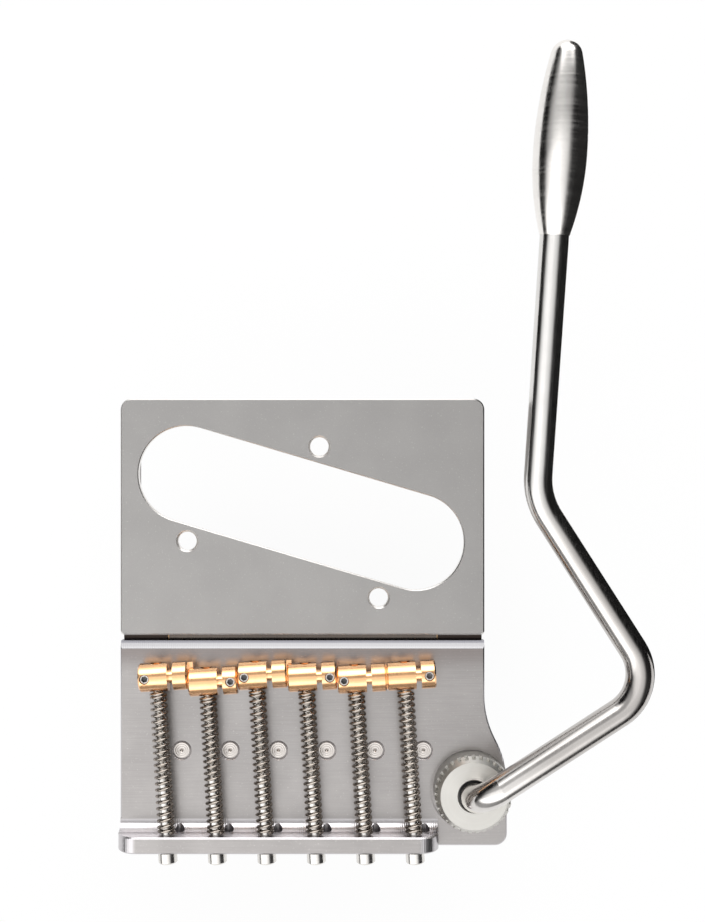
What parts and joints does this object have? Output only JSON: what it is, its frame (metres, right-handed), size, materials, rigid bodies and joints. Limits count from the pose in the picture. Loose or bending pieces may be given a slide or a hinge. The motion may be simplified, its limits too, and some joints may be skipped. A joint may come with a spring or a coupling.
{
  "type": "guitar tremolo bridge",
  "caption": "Guitar tremolo bridge: fixed plate with a slanted pickup slot, pivoted rear plate with brass barrel saddles on sprung screws, and a swivelling arm that rocks it.",
  "frame": {"origin": "on the guitar's top, below the pivot pin, on the plates' centre line", "axes": "+X to the treble side, +Y along the strings to the neck, +Z away from the guitar's top"},
  "size_m": [0.112, 0.1687, 0.0568],
  "materials": {
    "frame_steel": "milled and blackened",
    "satin_plate": "satin bead blasted",
    "brushed_plate": "satin, faint brushing along the width",
    "block_steel": "milled",
    "turned_pin": "turned face",
    "screw_steel": "bright nickel plated",
    "black_steel": "black oxide",
    "bronze": "oiled sintered bronze",
    "socket_steel": "turned and blackened",
    "collar_steel": "satin top, slotted rim",
    "arm_steel": "polished with a light satin",
    "tip_steel": "polished",
    "spring_steel": "bright spring wire",
    "saddle_brass": "polished",
    "nylon": "black",
    "pad_rubber": "moulded"
  },
  "bodies": {
    "base": {"base_frame": "frame_steel", "front_plate": "satin_plate", "front_plate_screws": "screw_steel", "pivot_bush_left": "bronze", "pivot_bush_right": "bronze", "rest_pad_left": "pad_rubber", "rest_pad_right": "pad_rubber", "return_spring_1": "spring_steel", "return_spring_2": "spring_steel", "return_spring_3": "spring_steel", "return_spring_4": "spring_steel"},
    "rocker": {"bridge_plate": "brushed_plate", "pivot_pin": "screw_steel", "pivot_grub_screws": "black_steel", "block_pins": "turned_pin", "sustain_block": "block_steel", "arm_socket": "socket_steel", "arm_friction_sleeve": "nylon", "socket_nut": "socket_steel", "intonation_spring_1": "spring_steel", "intonation_spring_2": "spring_steel", "intonation_spring_3": "spring_steel", "intonation_spring_4": "spring_steel", "intonation_spring_5": "spring_steel", "intonation_spring_6": "spring_steel"},
    "collar": {"knurled_collar": "collar_steel"},
    "arm": {"arm_rod": "arm_steel", "arm_tip": "tip_steel", "arm_retaining_ring": "spring_steel"},
    "saddle_1": {"saddle_1": "saddle_brass"},
    "intonation_screw_1": {"intonation_screw_1": "screw_steel"},
    "height_screw_1": {"height_screw_1": "screw_steel"},
    "saddle_2": {"saddle_2": "saddle_brass"},
    "intonation_screw_2": {"intonation_screw_2": "screw_steel"},
    "height_screw_2": {"height_screw_2": "screw_steel"},
    "saddle_3": {"saddle_3": "saddle_brass"},
    "intonation_screw_3": {"intonation_screw_3": "screw_steel"},
    "height_screw_3": {"height_screw_3": "screw_steel"},
    "saddle_4": {"saddle_4": "saddle_brass"},
    "intonation_screw_4": {"intonation_screw_4": "screw_steel"},
    "height_screw_4": {"height_screw_4": "screw_steel"},
    "saddle_5": {"saddle_5": "saddle_brass"},
    "intonation_screw_5": {"intonation_screw_5": "screw_steel"},
    "height_screw_5": {"height_screw_5": "screw_steel"},
    "saddle_6": {"saddle_6": "saddle_brass"},
    "intonation_screw_6": {"intonation_screw_6": "screw_steel"},
    "height_screw_6": {"height_screw_6": "screw_steel"}
  },
  "joints": [
    {"name": "trem_rock", "type": "hinge", "parent": "base", "child": "rocker", "pos_m": [0, 0, 0.00225], "axis": [-1, 0, 0], "range_deg": [0, 14], "stiffness_Nm_per_rad": 9, "springref_deg": -5.73, "deforming": ["return_spring_1", "return_spring_2", "return_spring_3", "return_spring_4"]},
    {"name": "arm_swing", "type": "hinge", "parent": "rocker", "child": "arm", "pos_m": [0.0364, -0.0325, 0.00655], "axis": [0, 0, 1], "continuous": true},
    {"name": "collar_turn", "type": "hinge", "parent": "rocker", "child": "collar", "pos_m": [0.0364, -0.0325, 0.00655], "axis": [0, 0, 1], "range_deg": [-180, 180]},
    {"name": "intonation_turn_1", "type": "hinge", "parent": "rocker", "child": "intonation_screw_1", "pos_m": [-0.0285, -0.0447, 0.01055], "axis": [0.0576, -0.9983, 0], "range_deg": [-4330, 1090]},
    {"name": "saddle_slide_1", "type": "slide", "parent": "rocker", "child": "saddle_1", "axis": [-0.0576, 0.9983, 0], "range_m": [-0.006, 0.0015], "deforming": ["intonation_spring_1"]},
    {"name": "height_adjust_1", "type": "slide", "parent": "saddle_1", "child": "height_screw_1", "axis": [0, 0, 1], "range_m": [0, 0.001]},
    {"name": "intonation_turn_2", "type": "hinge", "parent": "rocker", "child": "intonation_screw_2", "pos_m": [-0.018, -0.0447, 0.01055], "axis": [0.0576, -0.9983, 0], "range_deg": [-4330, 1090]},
    {"name": "saddle_slide_2", "type": "slide", "parent": "rocker", "child": "saddle_2", "axis": [-0.0576, 0.9983, 0], "range_m": [-0.006, 0.0015], "deforming": ["intonation_spring_2"]},
    {"name": "height_adjust_2", "type": "slide", "parent": "saddle_2", "child": "height_screw_2", "axis": [0, 0, 1], "range_m": [0, 0.001]},
    {"name": "intonation_turn_3", "type": "hinge", "parent": "rocker", "child": "intonation_screw_3", "pos_m": [-0.0075, -0.0447, 0.01055], "axis": [0.0576, -0.9983, 0], "range_deg": [-4330, 1090]},
    {"name": "saddle_slide_3", "type": "slide", "parent": "rocker", "child": "saddle_3", "axis": [-0.0576, 0.9983, 0], "range_m": [-0.006, 0.0015], "deforming": ["intonation_spring_3"]},
    {"name": "height_adjust_3", "type": "slide", "parent": "saddle_3", "child": "height_screw_3", "axis": [0, 0, 1], "range_m": [0, 0.001]},
    {"name": "intonation_turn_4", "type": "hinge", "parent": "rocker", "child": "intonation_screw_4", "pos_m": [0.003, -0.0447, 0.01055], "axis": [0.0576, -0.9983, 0], "range_deg": [-4330, 1090]},
    {"name": "saddle_slide_4", "type": "slide", "parent": "rocker", "child": "saddle_4", "axis": [-0.0576, 0.9983, 0], "range_m": [-0.006, 0.0015], "deforming": ["intonation_spring_4"]},
    {"name": "height_adjust_4", "type": "slide", "parent": "saddle_4", "child": "height_screw_4", "axis": [0, 0, 1], "range_m": [0, 0.001]},
    {"name": "intonation_turn_5", "type": "hinge", "parent": "rocker", "child": "intonation_screw_5", "pos_m": [0.0135, -0.0447, 0.01055], "axis": [0.0576, -0.9983, 0], "range_deg": [-4330, 1090]},
    {"name": "saddle_slide_5", "type": "slide", "parent": "rocker", "child": "saddle_5", "axis": [-0.0576, 0.9983, 0], "range_m": [-0.006, 0.0015], "deforming": ["intonation_spring_5"]},
    {"name": "height_adjust_5", "type": "slide", "parent": "saddle_5", "child": "height_screw_5", "axis": [0, 0, 1], "range_m": [0, 0.001]},
    {"name": "intonation_turn_6", "type": "hinge", "parent": "rocker", "child": "intonation_screw_6", "pos_m": [0.024, -0.0447, 0.01055], "axis": [0.0576, -0.9983, 0], "range_deg": [-4330, 1090]},
    {"name": "saddle_slide_6", "type": "slide", "parent": "rocker", "child": "saddle_6", "axis": [-0.0576, 0.9983, 0], "range_m": [-0.006, 0.0015], "deforming": ["intonation_spring_6"]},
    {"name": "height_adjust_6", "type": "slide", "parent": "saddle_6", "child": "height_screw_6", "axis": [0, 0, 1], "range_m": [0, 0.001]}
  ],
  "couplings": [
    {"joint": "intonation_turn_1", "follows": "saddle_slide_1", "rad_per_m": 12566},
    {"joint": "intonation_turn_2", "follows": "saddle_slide_2", "rad_per_m": 12566},
    {"joint": "intonation_turn_3", "follows": "saddle_slide_3", "rad_per_m": 12566},
    {"joint": "intonation_turn_4", "follows": "saddle_slide_4", "rad_per_m": 12566},
    {"joint": "intonation_turn_5", "follows": "saddle_slide_5", "rad_per_m": 12566},
    {"joint": "intonation_turn_6", "follows": "saddle_slide_6", "rad_per_m": 12566}
  ]
}
